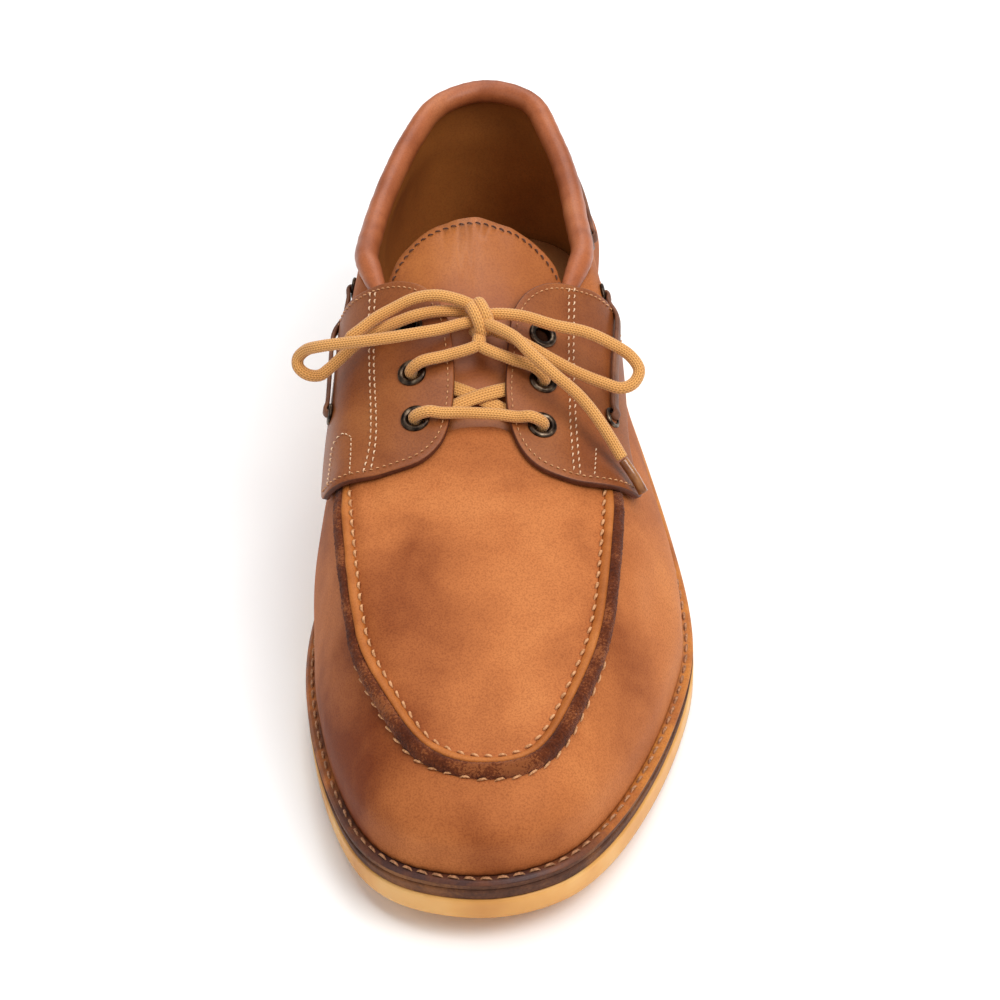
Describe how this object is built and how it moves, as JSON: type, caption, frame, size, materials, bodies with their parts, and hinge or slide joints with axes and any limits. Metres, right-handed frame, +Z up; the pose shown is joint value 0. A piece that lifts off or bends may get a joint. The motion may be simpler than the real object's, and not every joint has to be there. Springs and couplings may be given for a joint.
{
  "type": "boat shoe",
  "caption": "Left leather boat shoe on a gum rubber sole, with a raised apron seam, padded collar, lace tabs and a side lace, standing empty.",
  "frame": {"origin": "on the floor under the centre of the shoe's bounding box, which the sole sets in plan", "axes": "+Z up, +Y from toe to heel, +X to the lateral side, away from the other foot"},
  "size_m": [0.1156, 0.3, 0.1041],
  "materials": {
    "gum_rubber": "matte",
    "edge_strip": "satin",
    "welt_leather": "satin",
    "lining_leather": "matte",
    "nubuck": "matte, oiled nubuck",
    "raw_edge": "matte, fuzzy cut edge",
    "smooth_leather": "satin",
    "dark_leather": "satin",
    "antique_brass": "antique, dark",
    "thong_leather": "satin",
    "lace": "braided cotton",
    "aglet_plastic": "translucent brown"
  },
  "bodies": {
    "root": {"outsole": "gum_rubber", "midsole": "edge_strip", "welt": "welt_leather", "insole": "lining_leather", "upper": "nubuck", "apron_seam": "raw_edge", "tongue": "smooth_leather", "collar": "smooth_leather", "tab_lateral": "dark_leather", "tab_medial": "dark_leather", "eyelet_lateral_1": "antique_brass", "eyelet_lateral_2": "antique_brass", "eyelet_lateral_3": "antique_brass", "eyelet_medial_1": "antique_brass", "eyelet_medial_2": "antique_brass", "eyelet_medial_3": "antique_brass", "side_eyelet_lateral_1": "antique_brass", "side_eyelet_lateral_2": "antique_brass", "side_eyelet_lateral_3": "antique_brass", "side_eyelet_lateral_4": "antique_brass", "side_lace_lateral_front": "thong_leather", "side_lace_lateral_rear": "thong_leather", "side_eyelet_medial_1": "antique_brass", "side_eyelet_medial_2": "antique_brass", "side_eyelet_medial_3": "antique_brass", "side_eyelet_medial_4": "antique_brass", "side_lace_medial_front": "thong_leather", "side_lace_medial_rear": "thong_leather", "lace_bars": "lace", "lace_knot": "lace", "lace_loop_medial": "lace", "lace_loop_lateral": "lace", "lace_end_medial": "lace", "lace_end_lateral": "lace", "aglet": "aglet_plastic"}
  },
  "joints": []
}
